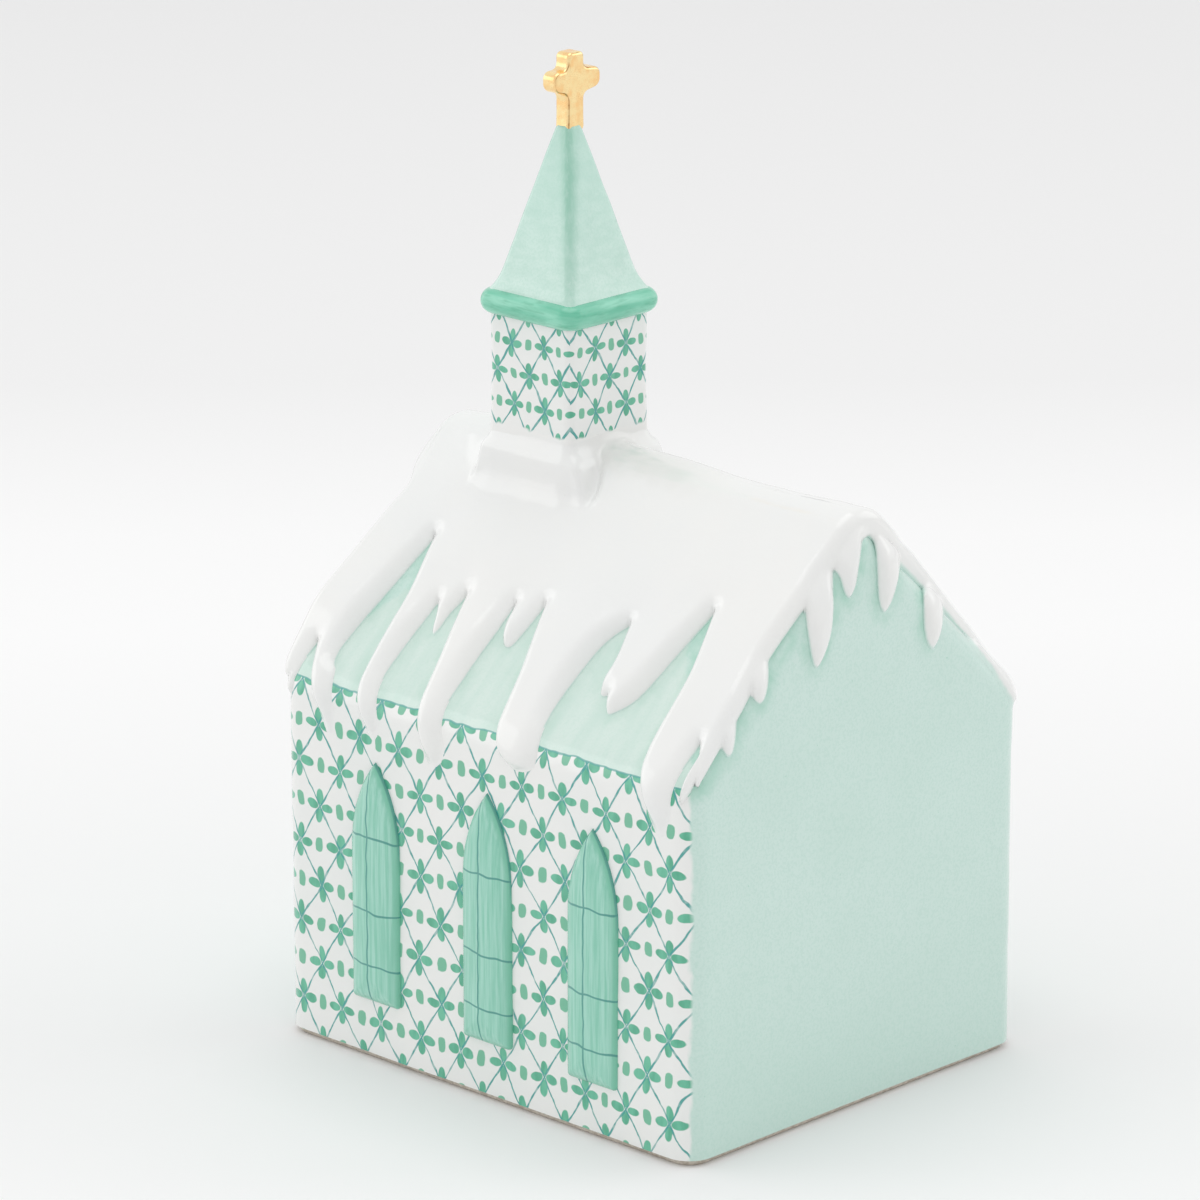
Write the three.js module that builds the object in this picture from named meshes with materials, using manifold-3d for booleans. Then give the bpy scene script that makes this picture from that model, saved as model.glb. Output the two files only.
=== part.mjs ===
// Snow-covered church, a small porcelain decoration: a hollow nave, snow on its roof, a tower with a cross.
// Millimetres, +Z up. X runs along the ridge and Y across. The origin lies on the table under the middle
// of the nave.
import * as THREE from "three";
import { toCreasedNormals } from "three/addons/utils/BufferGeometryUtils.js";
import Module from "manifold-3d";

const wasm = await Module();
wasm.setup();

// nave
const LENGTH = 75;
const WIDTH = 64;
const EAVE = 50.5; // height of the fold between a long wall and its roof slope
const PITCH = THREE.MathUtils.degToRad(43);
const CORNER = 3.5; // rounding of the upright corners and of the gable edges
const EAVE_ROUND = 6.5;
const RIDGE_ROUND = 3.8;
const WALL = 3; // thickness of the cast wall
const FOOT = 0.9; // height of the bare foot
const FOOT_INSET = 0.5; // from the wall's face to the foot
const FOOT_WIDTH = 2.1;

// snow
const SNOW = 1.6; // from the wall to the outer side of the snow on a gable
const SNOW_SHARE = [0.75, 1.25]; // the snow's thickness below the eave and high on a slope, as shares of SNOW
const SNOW_RISE = 12; // distance up the slope in which it gets thicker
const SEAT = 0.3; // clearance between the snow and what it covers
const SNOW_EDGE = 0.006 * LENGTH; // width of the rounding along the snow's edges
const SNOW_ROUND = 1; // height of that rounding
const GABLE_SNOW = 2.5; // thickness of the sheet that the gable's icicles are cut from
const SNOW_SKIM = 0.02; // taken off the snow's upper side when its limit cuts it
const LOWEST_SNOW = EAVE - 10;

// tower
const TOWER_X = -0.2 * LENGTH;
const TOWER_HALF = 7.5;
const TOWER_CORNER = 1.3;
const SADDLE_RISE = 0.1; // from the snow on the ridge up to the saddle's top
const SADDLE_LEDGE = 0.9; // from the shaft to the saddle's edge
const SADDLE_FLARE = [0.35, 0.1]; // along X and Y, per height
const SHAFT_HEIGHT = 16.9;
const BEAD_HEIGHT = 3.2;
const BEAD_BULGE = 1.15;
const SPIRE_HEIGHT = 21.7;
const SPIRE_STEP = 0.4; // from the shaft's face back to the spire's
const SPIRE_TIP_HALF = 1.4;

// cross
const CROSS_HEIGHT = 10;
const CROSS_MIDDLE = 5.9; // from the cross's foot up to the middle of its arms
const CROSS_SPAN = 8.4;
const CROSS_STEM = 2.7;
const CROSS_ARM = 2.9;
const CROSS_THICK = 2.4;
const CROSS_EDGE = 0.75;

// windows and door
const WINDOW_BOTTOM = 8.8;
const WINDOW_SIZE = [8, 33.7];
const WINDOW_RISE = 11; // height of the pointed arch
const WINDOW_RELIEF = 2;
const WINDOW_EDGE = 1.4;
const WINDOW_PITCH = 19.5;
const WINDOW_SHIFT = 0.9; // of the middle window along X
const DOOR_BOTTOM = 3.5;
const DOOR_SIZE = [15, 29];
const DOOR_RISE = 12;
const DOOR_RELIEF = 1.6;
const DOOR_EDGE = 1;

const ROUND_STEPS = 5;

// Lower edge of the snow on a slope, from one gable to the other. The first number runs along the nave, 1 at
// the gable's face. The second is the distance up from the eave, below 0 where snow hangs down the wall.
// Each row runs from one notch to the next round a tongue of snow.
const SLOPE_EDGE = [
  [[-1.067, 4], [-1.003, 1.6], [-0.965, 0.2], [-0.939, 1.4], [-0.917, 5.6]],
  [
    [-0.888, 0.6], [-0.829, -3.6], [-0.765, -7.2], [-0.72, -4.6], [-0.757, 1.6], [-0.795, 6.5],
    [-0.699, 24.8],
  ],
  [[-0.651, 15.5], [-0.637, 2.4], [-0.592, -3.2], [-0.539, -5.7], [-0.501, -3.6], [-0.544, 4], [-0.541, 15]],
  [[-0.502, 14.2], [-0.475, 12.8], [-0.444, 12.8], [-0.43, 14.6], [-0.408, 17.8]],
  [[-0.347, 8.6], [-0.315, 0.8], [-0.291, -4], [-0.235, -6.8], [-0.176, -4.4], [-0.205, 2.6], [-0.2, 18.6]],
  [[-0.165, 14.8], [-0.125, 12.5], [-0.088, 12.5], [-0.072, 14.8], [-0.051, 19.6]],
  [
    [0.021, 10], [0.059, 1.4], [0.101, -2.2], [0.187, -3.7], [0.267, -1.8], [0.245, 5.6], [0.277, 15.6],
    [0.323, 20],
  ],
  [[0.344, 14.2], [0.373, 10.2], [0.4, 9.6], [0.432, 10.4]],
  [[0.464, 8], [0.491, 7.8], [0.555, 10.6], [0.648, 25]],
  [[0.715, 14.8], [0.723, 4.4], [0.773, -1.8], [0.848, -6.9], [0.917, -3.4], [0.931, 0.8], [0.96, 5]],
  [[0.981, 1.8], [1.013, 0.2], [1.067, 1.5]],
];

// Lower edge of the snow on a gable. The first number runs across the nave, 1 at the wall's face. The second
// is the distance below the line of the roof. Each row runs round one icicle.
const GABLE_EDGE = [
  [[-1.125, -1.8], [-1.025, -0.8], [-0.944, -1.2], [-0.856, -2]],
  [[-0.822, 0.8], [-0.791, 2.7], [-0.762, 2.8], [-0.753, 0.3], [-0.766, -3.7]],
  [[-0.691, -2.3], [-0.637, 1.1], [-0.603, 2.6], [-0.578, 2.4], [-0.569, 0.4], [-0.581, -3]],
  [[-0.463, -1.9], [-0.369, -0.3]],
  [[-0.319, 6.4], [-0.278, 10], [-0.225, 8.6], [-0.197, -0.1]],
  [[-0.156, 2.5], [-0.128, 5.6], [-0.097, 7.2], [-0.069, 7.3], [-0.05, 5.4], [-0.028, 2.5]],
  [[0.059, 3.2], [0.084, 8.8], [0.119, 9.9], [0.166, 6.4], [0.216, 0.7]],
  [[0.287, -0.2], [0.347, 0.6], [0.366, 6.8], [0.412, 8.2], [0.459, 4.8], [0.487, 0.6]],
  [[0.581, 1.4], [0.656, 2.9], [0.769, 2.2], [0.863, 3], [0.931, 3.2], [1, 0.8], [1.125, -4]],
];

const GLAZE = { roughness: 0.12, metalness: 0 };

// the roof's outline across the nave, measured along it from the fold at the eave on the -Y side

const EAVE_TURN = Math.PI / 2 - PITCH;
const EAVE_HALF = (EAVE_ROUND * EAVE_TURN) / 2;
const EAVE_CENTRE = [WIDTH / 2 - EAVE_ROUND, EAVE - EAVE_ROUND * Math.tan(EAVE_TURN / 2)];
const STRAIGHT =
  WIDTH / 2 / Math.cos(PITCH) - EAVE_ROUND * Math.tan(EAVE_TURN / 2) - RIDGE_ROUND * Math.tan(PITCH);
const RIDGE_HALF = RIDGE_ROUND * PITCH;
const RIDGE = EAVE_HALF + STRAIGHT + RIDGE_HALF; // distance from the fold up to the ridge
const RIDGE_CENTRE = EAVE + (WIDTH / 2) * Math.tan(PITCH) - RIDGE_ROUND / Math.cos(PITCH);

const SADDLE_TOP = RIDGE_CENTRE + RIDGE_ROUND + SNOW * SNOW_SHARE[1] + SADDLE_RISE;
const SHAFT_TOP = SADDLE_TOP + SHAFT_HEIGHT;
const BEAD_TOP = SHAFT_TOP + BEAD_HEIGHT;
const SPIRE_TOP = BEAD_TOP + SPIRE_HEIGHT;

// y and z of the point at distance `along` on the outline, inside the roof's surface where `level` is below 0
// and in the snow above it
function overRoof(along, level) {
  const side = along > RIDGE ? 1 : -1;
  const up = RIDGE - Math.abs(along - RIDGE);
  const high = THREE.MathUtils.clamp(up / SNOW_RISE, 0, 1);
  const share = THREE.MathUtils.lerp(...SNOW_SHARE, high);
  const out = level > 0 ? level * share : level;
  if (up <= -EAVE_HALF) return [side * (WIDTH / 2 + out), EAVE_CENTRE[1] + up + EAVE_HALF];
  const turn = Math.min(up + EAVE_HALF, 2 * EAVE_HALF) / EAVE_ROUND;
  if (up <= EAVE_HALF + STRAIGHT) {
    const reach = EAVE_ROUND + out;
    const run = Math.max(up - EAVE_HALF, 0);
    const y = EAVE_CENTRE[0] + reach * Math.cos(turn) - run * Math.cos(PITCH);
    return [side * y, EAVE_CENTRE[1] + reach * Math.sin(turn) + run * Math.sin(PITCH)];
  }
  const bend = EAVE_TURN + (up - EAVE_HALF - STRAIGHT) / RIDGE_ROUND;
  const reach = RIDGE_ROUND + out;
  return [side * reach * Math.cos(bend), RIDGE_CENTRE + reach * Math.sin(bend)];
}

// distances at which the outline bends
function foldLines() {
  const lines = [];
  for (let i = 0; i <= ROUND_STEPS; i++) lines.push(EAVE_HALF * ((2 * i) / ROUND_STEPS - 1));
  lines.push(SNOW_RISE);
  const far = lines.map((line) => 2 * RIDGE - line).reverse();
  const steps = 2 * ROUND_STEPS;
  for (let i = 0; i <= steps; i++) lines.push(RIDGE + RIDGE_HALF * ((2 * i) / steps - 1));
  return lines.concat(far);
}

// A body is a list of points and a list of faces, each face three indices.

function bodyOf(geometry) {
  const at = geometry.attributes.position;
  const seen = new Map();
  const points = [];
  const faces = [];
  const order = geometry.index ? Array.from(geometry.index.array) : [...Array(at.count).keys()];
  const ids = order.map((i) => {
    const point = [at.getX(i), at.getY(i), at.getZ(i)];
    const key = point.map((v) => Math.round(v * 1e4)).join(" ");
    if (!seen.has(key)) seen.set(key, points.push(point) - 1);
    return seen.get(key);
  });
  for (let i = 0; i < ids.length; i += 3) {
    const [a, b, c] = ids.slice(i, i + 3);
    if (a !== b && b !== c && c !== a) faces.push([a, b, c]);
  }
  return { points, faces };
}

function solidOf({ points, faces }) {
  const vertProperties = new Float32Array(points.flat());
  const triVerts = new Uint32Array(faces.flat());
  return new wasm.Manifold(new wasm.Mesh({ numProp: 3, vertProperties, triVerts }));
}

function plainGeometry(solid) {
  const mesh = solid.getMesh();
  const geometry = new THREE.BufferGeometry();
  geometry.setAttribute("position", new THREE.BufferAttribute(new Float32Array(mesh.vertProperties), 3));
  return geometry.setIndex(Array.from(mesh.triVerts));
}

function moved(body, place) {
  return { points: body.points.map(place), faces: body.faces };
}

// (x, y, z) turned half a circle about the upright axis
const halfTurn = ([x, y, z]) => [-x, -y, z];

function box(low, high) {
  const size = high.map((v, i) => v - low[i]);
  const geometry = new THREE.BoxGeometry(...size);
  geometry.translate(...low.map((v, i) => v + size[i] / 2));
  return solidOf(bodyOf(geometry));
}

// skin over closed rings with equal numbers of points, each ring anticlockwise seen from the last one's end
function loft(rings) {
  const count = rings[0].length;
  const faces = [];
  for (let i = 1; i < count - 1; i++) {
    const top = (rings.length - 1) * count;
    faces.push([0, i + 1, i], [top, top + i, top + i + 1]);
  }
  for (let r = 0; r + 1 < rings.length; r++) {
    for (let i = 0; i < count; i++) {
      const [a, b] = [r * count + i, r * count + ((i + 1) % count)];
      faces.push([a, b, b + count], [a, b + count, a + count]);
    }
  }
  return { points: rings.flat(), faces };
}

// upright body with a rounded rectangle at each level: height, half size along X and Y, corner radius
function tower(levels, x = 0) {
  return loft(levels.map(([z, halfX, halfY, corner]) => roundedRing(x, z, halfX, halfY, corner)));
}

function roundedRing(x, z, halfX, halfY, corner) {
  const ring = [];
  for (let quarter = 0; quarter < 4; quarter++) {
    const [sideX, sideY] = [quarter === 0 || quarter === 3 ? 1 : -1, quarter < 2 ? 1 : -1];
    for (let i = 0; i <= ROUND_STEPS; i++) {
      const turn = (Math.PI / 2) * (quarter + i / ROUND_STEPS);
      const centre = [x + sideX * (halfX - corner), sideY * (halfY - corner)];
      ring.push([centre[0] + corner * Math.cos(turn), centre[1] + corner * Math.sin(turn), z]);
    }
  }
  return ring;
}

// nave with its roof, grown outwards by `offset`, down to the height `bottom`
function naveBody(offset, bottom) {
  const ends = [];
  for (let i = 0; i <= ROUND_STEPS; i++) {
    const turn = (Math.PI / 2) * (1 - i / ROUND_STEPS);
    const radius = CORNER + offset;
    ends.push([LENGTH / 2 - CORNER + radius * Math.sin(turn), radius * Math.cos(turn) - CORNER]);
  }
  const section = (x, out) => {
    const line = foldLines().map((along) => overRoof(along, out));
    const [first, last] = [line[0][0], line.at(-1)[0]];
    const around = [[first, bottom], ...line, [last, bottom]].reverse();
    return around.map(([y, z]) => [x, y, z]);
  };
  const near = ends.map(([x, out]) => section(-x, out));
  const far = ends.reverse().map(([x, out]) => section(x, out));
  return loft([...near, ...far]);
}

// body with the faces that cross y = level split there
function splitAt({ points, faces }, level) {
  const grown = [...points];
  const made = new Map();
  const kept = [];
  const side = (i) => (Math.abs(grown[i][1] - level) < 1e-6 ? 0 : Math.sign(grown[i][1] - level));
  const between = (i, j) => {
    const key = i < j ? `${i} ${j}` : `${j} ${i}`;
    if (!made.has(key)) {
      const share = (level - grown[i][1]) / (grown[j][1] - grown[i][1]);
      made.set(key, grown.push(grown[i].map((v, k) => v + share * (grown[j][k] - v))) - 1);
    }
    return made.get(key);
  };
  for (const face of faces) {
    const sides = face.map(side);
    if (!(sides.includes(1) && sides.includes(-1))) {
      kept.push(face);
      continue;
    }
    const parts = { above: [], below: [] };
    face.forEach((i, k) => {
      const j = face[(k + 1) % 3];
      if (sides[k] >= 0) parts.above.push(i);
      if (sides[k] <= 0) parts.below.push(i);
      if (sides[k] * side(j) < 0) {
        parts.above.push(between(i, j));
        parts.below.push(between(i, j));
      }
    });
    for (const part of [parts.above, parts.below]) {
      for (let k = 1; k + 1 < part.length; k++) kept.push([part[0], part[k], part[k + 1]]);
    }
  }
  return { points: grown, faces: kept };
}

// smooth curves round each tongue of an edge, whose first point the path has already reached
function along(path, edge) {
  edge.forEach((tongue, i) => {
    path.splineThru((i ? tongue : tongue.slice(1)).map(([x, y]) => new THREE.Vector2(x, y)));
  });
}

function placed(edge, place) {
  return edge.map((tongue) => tongue.map(place));
}

function startedAt(edge) {
  const shape = new THREE.Shape();
  shape.moveTo(...edge[0][0]);
  return shape;
}

// sheet with this outline between two heights, flat below and with rounded edges above
function roundedSheet(shape, [low, high], [edge, round], steps) {
  const geometry = new THREE.ExtrudeGeometry(shape, {
    depth: 2 * (high - low - round),
    bevelThickness: round,
    bevelSize: edge,
    bevelOffset: -edge,
    bevelSegments: 2,
    curveSegments: steps,
  });
  geometry.translate(0, 0, 2 * low - high + round);
  const { min, max } = new THREE.Box3().setFromBufferAttribute(geometry.attributes.position);
  const front = box([min.x - 1, min.y - 1, low], [max.x + 1, max.y + 1, high + 1]);
  return bodyOf(plainGeometry(solidOf(bodyOf(geometry)).intersect(front)));
}

// snow on both slopes, cut out flat and bent over the roof
function slopeSnow() {
  const near = placed(SLOPE_EDGE, ([share, up]) => [(share * LENGTH) / 2, up]);
  const shape = startedAt(near);
  along(shape, near);
  const far = near.map((tongue) => tongue.map(([x, up]) => [-x, 2 * RIDGE - up]));
  shape.lineTo(...far[0][0]);
  along(shape, far);
  let body = roundedSheet(shape, [0, SNOW + SNOW_SKIM], [SNOW_EDGE, SNOW_ROUND], 2);
  for (const line of foldLines()) body = splitAt(body, line);
  return moved(body, ([x, up, out]) => [x, ...overRoof(up, out)]);
}

// snow hanging down the gable on the +X side
function gableSnow() {
  const line = (share) => EAVE + ((1 - Math.abs(share)) * WIDTH * Math.tan(PITCH)) / 2;
  const edge = placed(GABLE_EDGE, ([share, drop]) => [(share * WIDTH) / 2, line(share) - drop]);
  const shape = startedAt(edge);
  along(shape, edge);
  const above = EAVE + WIDTH;
  shape.lineTo(WIDTH, above);
  shape.lineTo(-WIDTH, above);
  const front = LENGTH / 2 + SNOW + SNOW_SKIM;
  const body = roundedSheet(shape, [front - GABLE_SNOW, front], [SNOW_EDGE, SNOW_ROUND], 2);
  return moved(body, ([y, z, x]) => [x, y, z]);
}

function saddleLevels(grow) {
  const foot = EAVE + (WIDTH / 2 - TOWER_HALF - SADDLE_LEDGE) * Math.tan(PITCH) - 3; // inside the roof
  const levels = [[foot, 0], [SADDLE_TOP - 1.2, 0], [SADDLE_TOP - 0.35, 0.35], [SADDLE_TOP, 1]];
  return levels.map(([z, inset]) => {
    const wide = TOWER_HALF + SADDLE_LEDGE + grow - inset;
    const [halfX, halfY] = SADDLE_FLARE.map((flare) => wide + flare * (SADDLE_TOP - z));
    return [z, halfX, halfY, 2 + grow];
  });
}

function snowSolid() {
  const sheets = solidOf(slopeSnow()).add(solidOf(gableSnow())).add(solidOf(moved(gableSnow(), halfTurn)));
  const limit = solidOf(naveBody(SNOW, LOWEST_SNOW));
  const under = solidOf(naveBody(SEAT, LOWEST_SNOW - 1));
  const [foot, , , top] = saddleLevels(SEAT);
  const hole = solidOf(tower([foot, [SADDLE_TOP + 5, top[1] + 1, top[2] + 1, top[3]]], TOWER_X));
  return sheets.intersect(limit).subtract(under).subtract(hole);
}

function saddleSolid() {
  return solidOf(tower(saddleLevels(0), TOWER_X)).subtract(solidOf(naveBody(SEAT, LOWEST_SNOW)));
}

function naveSolid() {
  return solidOf(naveBody(0, FOOT)).subtract(solidOf(naveBody(-WALL, FOOT - 1)));
}

function footSolid() {
  const ring = (inset, low, high) => {
    const half = [LENGTH / 2 - inset, WIDTH / 2 - inset, Math.max(CORNER - inset, 0.8)];
    return solidOf(tower([[low, ...half], [high, ...half]]));
  };
  return ring(FOOT_INSET, 0, FOOT).subtract(ring(FOOT_INSET + FOOT_WIDTH, -1, FOOT + 1));
}

function shaftSolid() {
  const half = [TOWER_HALF, TOWER_HALF, TOWER_CORNER];
  return solidOf(tower([[SADDLE_TOP, ...half], [SHAFT_TOP, ...half]], TOWER_X));
}

function beadSolid() {
  const levels = [];
  const steps = 2 * ROUND_STEPS;
  for (let i = 0; i <= steps; i++) {
    const turn = Math.PI * (i / steps - 0.5);
    const half = TOWER_HALF - 0.1 + BEAD_BULGE * Math.cos(turn);
    levels.push([SHAFT_TOP + (BEAD_HEIGHT / 2) * (1 + Math.sin(turn)), half, half, TOWER_CORNER + 0.4]);
  }
  return solidOf(tower(levels, TOWER_X));
}

function spireSolid() {
  const levels = [];
  for (const share of [0, 0.04, 0.1, 1]) {
    const flare = 0.3 * Math.max(0, 1 - share * 10) ** 2;
    const half = THREE.MathUtils.lerp(TOWER_HALF - SPIRE_STEP, SPIRE_TIP_HALF, share) + flare;
    levels.push([BEAD_TOP + SPIRE_HEIGHT * share, half, half, 1.2 - 0.4 * share]);
  }
  return solidOf(tower(levels, TOWER_X));
}

// outline through these corners, each one rounded
function roundedOutline(corners, radius) {
  const shape = new THREE.Shape();
  corners.forEach((corner, i) => {
    const at = new THREE.Vector2(...corner);
    const towards = (other) => {
      const way = new THREE.Vector2(...other).sub(at);
      return at.clone().add(way.setLength(Math.min(radius, way.length() * 0.45)));
    };
    const from = towards(corners.at(i - 1));
    const to = towards(corners[(i + 1) % corners.length]);
    if (i === 0) shape.moveTo(from.x, from.y);
    else shape.lineTo(from.x, from.y);
    shape.quadraticCurveTo(at.x, at.y, to.x, to.y);
  });
  return shape;
}

function crossSolid() {
  const [stem, span, arm] = [CROSS_STEM / 2, CROSS_SPAN / 2, CROSS_ARM / 2];
  const middle = SPIRE_TOP + CROSS_MIDDLE;
  const half = [
    [stem, SPIRE_TOP - CROSS_STEM], [stem, middle - arm], [span, middle - arm * 0.8],
    [span, middle + arm], [stem, middle + arm], [stem, SPIRE_TOP + CROSS_HEIGHT],
  ];
  const corners = half.concat(half.map(([y, z]) => [-y, z]).reverse());
  const outline = roundedOutline(corners, 1.5 * CROSS_EDGE);
  const body = roundedSheet(outline, [0, CROSS_THICK / 2], [CROSS_EDGE, CROSS_EDGE], 3);
  const face = moved(body, ([y, z, x]) => [x, y, z]);
  const cross = solidOf(face).add(solidOf(moved(face, halfTurn))).translate([TOWER_X, 0, 0]);
  const below = box([-CROSS_SPAN, -CROSS_SPAN, -CROSS_SPAN], [CROSS_SPAN, CROSS_SPAN, 0]);
  return cross.subtract(below.translate([TOWER_X, 0, SPIRE_TOP]));
}

// panel with a pointed arch, flat behind and rounded in front, lying in the XY plane
function lancet([wide, high], rise, relief, edge) {
  const half = wide / 2;
  const radius = (rise * rise + half * half) / wide;
  const spring = high - rise;
  const sweep = Math.asin(rise / radius);
  const foot = 1.2 * edge; // rounding of the two lower corners
  const arc = (x, y, size, from, to) => new THREE.EllipseCurve(x, y, size, size, from, to).getPoints(6);
  const corner = arc(half - foot, foot, foot, -Math.PI / 2, 0);
  const right = corner.concat(arc(half - radius, spring, radius, 0, sweep));
  const left = right.slice(0, -1).reverse().map(({ x, y }) => new THREE.Vector2(-x, y));
  const shape = new THREE.Shape(right.concat(left));
  return roundedSheet(shape, [0, relief], [edge, edge], 6);
}

function windowBody(index) {
  const panel = lancet(WINDOW_SIZE, WINDOW_RISE, WINDOW_RELIEF, WINDOW_EDGE);
  const x = WINDOW_SHIFT + WINDOW_PITCH * (index - 1);
  return moved(panel, ([a, b, c]) => [x + a, -WIDTH / 2 - c, WINDOW_BOTTOM + b]);
}

function doorBody() {
  const panel = lancet(DOOR_SIZE, DOOR_RISE, DOOR_RELIEF, DOOR_EDGE);
  return moved(panel, ([a, b, c]) => [-LENGTH / 2 - c, -a, DOOR_BOTTOM + b]);
}

function part(name, solid, color, look = GLAZE) {
  const geometry = toCreasedNormals(plainGeometry(solid), 0.6);
  const mesh = new THREE.Mesh(geometry, new THREE.MeshStandardMaterial({ color, ...look }));
  mesh.name = name;
  mesh.material.name = `${name}_glaze`;
  return mesh;
}

const church = new THREE.Group();
church.name = "church_figurine";
church.add(part("foot_rim", footSolid(), 0xd8d0c4, { roughness: 0.85, metalness: 0 }));
church.add(part("nave_shell", naveSolid(), 0xc9e1d6));
church.add(part("snow_blanket", snowSolid(), 0xf3f3f1));
church.add(part("tower_saddle", saddleSolid(), 0xf3f3f1));
church.add(part("tower_shaft", shaftSolid(), 0xd6e9e1));
church.add(part("eave_moulding", beadSolid(), 0x70bf9f));
church.add(part("spire", spireSolid(), 0xb3d9c9));
church.add(part("cross", crossSolid(), 0xf0c26c, { roughness: 0.18, metalness: 1 }));
for (let i = 0; i < 3; i++) {
  church.add(part(`window_${i + 1}`, solidOf(windowBody(i)), 0x84c8ac));
  church.add(part(`window_${i + 4}`, solidOf(moved(windowBody(i), halfTurn)), 0x84c8ac));
}
church.add(part("door", solidOf(doorBody()), 0x84c8ac));

export default church;
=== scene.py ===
import math
from functools import partialmethod

import bpy
import numpy as np
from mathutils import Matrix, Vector


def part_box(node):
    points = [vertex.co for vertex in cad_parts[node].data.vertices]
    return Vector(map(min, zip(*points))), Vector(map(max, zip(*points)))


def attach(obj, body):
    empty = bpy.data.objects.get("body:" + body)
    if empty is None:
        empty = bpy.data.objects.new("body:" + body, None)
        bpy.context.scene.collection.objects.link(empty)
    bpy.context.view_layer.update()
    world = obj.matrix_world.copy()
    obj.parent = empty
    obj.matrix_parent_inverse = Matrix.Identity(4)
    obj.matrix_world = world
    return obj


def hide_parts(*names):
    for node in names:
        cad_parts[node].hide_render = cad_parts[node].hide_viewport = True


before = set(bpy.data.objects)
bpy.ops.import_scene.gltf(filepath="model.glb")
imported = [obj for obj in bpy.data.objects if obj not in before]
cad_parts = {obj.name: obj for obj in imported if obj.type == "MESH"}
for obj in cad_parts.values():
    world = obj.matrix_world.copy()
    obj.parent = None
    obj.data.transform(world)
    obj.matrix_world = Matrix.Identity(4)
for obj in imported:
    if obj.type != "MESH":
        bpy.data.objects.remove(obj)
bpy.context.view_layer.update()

MM = 0.001


def reach(node):
    """the node's lowest and highest corner, in millimetres"""
    return [[round(value / MM, 3) for value in corner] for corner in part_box(node)]


# sizes in millimetres, from the frame where it has them

HALF_X, HALF_Y = reach("nave_shell")[1][:2]
FOOT = reach("nave_shell")[0][2]
PITCH = math.radians(43)
COS, SIN, TAN = math.cos(PITCH), math.sin(PITCH), math.tan(PITCH)
EAVE, EAVE_ROUND, RIDGE_ROUND, VERGE, WALL = 50.5, 6.5, 3.8, 3.5, 3.0
EAVE_TURN = math.pi / 2 - PITCH
EAVE_HALF = EAVE_ROUND * EAVE_TURN / 2
EAVE_C = (HALF_Y - EAVE_ROUND, EAVE - EAVE_ROUND * math.tan(EAVE_TURN / 2))
APEX = EAVE + HALF_Y * TAN
RIDGE_C = APEX - RIDGE_ROUND / COS
STRAIGHT = HALF_Y / COS - EAVE_ROUND * math.tan(EAVE_TURN / 2) - RIDGE_ROUND * TAN
RIDGE = EAVE_HALF + STRAIGHT + RIDGE_ROUND * PITCH
SHAFT_LOW, SHAFT_HIGH = reach("tower_shaft")
TOWER_X, TOWER_HALF = (SHAFT_LOW[0] + SHAFT_HIGH[0]) / 2, SHAFT_HIGH[1]
TOWER_NODES = ("tower_saddle", "tower_shaft", "eave_moulding", "spire", "cross")
# the tower's heights are this far below the tops of its solids, so that the cross stays inside
BELOW = 0.005
SADDLE_TOP, SHAFT_TOP, BEAD_TOP, SPIRE_TOP, CROSS_TOP = (reach(node)[1][2] - BELOW for node in TOWER_NODES)
# the windows of a long wall: place along it, height of the sill and height of the window
WINDOWS = ((-19.4, 8.4, 33.5), (1.3, 8.1, 34.4), (20.3, 7.5, 34.7))
# the signs of a rectangle's corners, one after the other
CORNERS = ((1, -1), (1, 1), (-1, 1), (-1, -1))
# a distance that stands for any that is too large to matter
FAR = 9.0

# lower edge of the snow on a slope: share of the half length, distance up from the eave
SLOPE_EDGE = [
    [[-1.067, 4], [-1.003, 0.6], [-0.975, 0], [-0.94, 0.6], [-0.93, 2.4], [-0.912, 5.6]],
    [[-0.849, 0.3], [-0.799, -3.5], [-0.749, -7], [-0.72, -4.6], [-0.757, 1.6], [-0.795, 6.5],
     [-0.699, 24.8]],
    [[-0.651, 15.5], [-0.626, 2.3], [-0.579, -3.1], [-0.532, -5.7], [-0.501, -3.6], [-0.54, 4],
     [-0.51, 15.9]],
    [[-0.482, 13.8], [-0.464, 11.7], [-0.443, 11], [-0.434, 12.8], [-0.429, 14.7], [-0.404, 17.8]],
    [[-0.347, 8.6], [-0.315, 0.8], [-0.291, -4], [-0.235, -6.8], [-0.176, -4.4], [-0.205, 2.6],
     [-0.177, 18.6]],
    [[-0.159, 15], [-0.128, 12.6], [-0.091, 12.4], [-0.072, 14.8], [-0.051, 19.6]],
    [[0.021, 10], [0.059, 1.4], [0.101, -2.2], [0.187, -3.7], [0.267, -1.8], [0.245, 5.6],
     [0.277, 15.6], [0.343, 20.2]],
    [[0.381, 14.6], [0.382, 11.3], [0.39, 9.7], [0.408, 9.4], [0.427, 9.7], [0.442, 8.6],
     [0.462, 7.5], [0.486, 7.4], [0.555, 10.6], [0.605, 18.3], [0.648, 25]],
    [[0.715, 14.8], [0.723, 4.4], [0.773, -1.8], [0.848, -6.9], [0.899, -3.9], [0.898, -0.9],
     [0.901, 2.2], [0.91, 7]],
    [[0.945, 4.4], [0.975, 1.6], [1.013, 1.2], [1.067, 2.5]],
]
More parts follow.
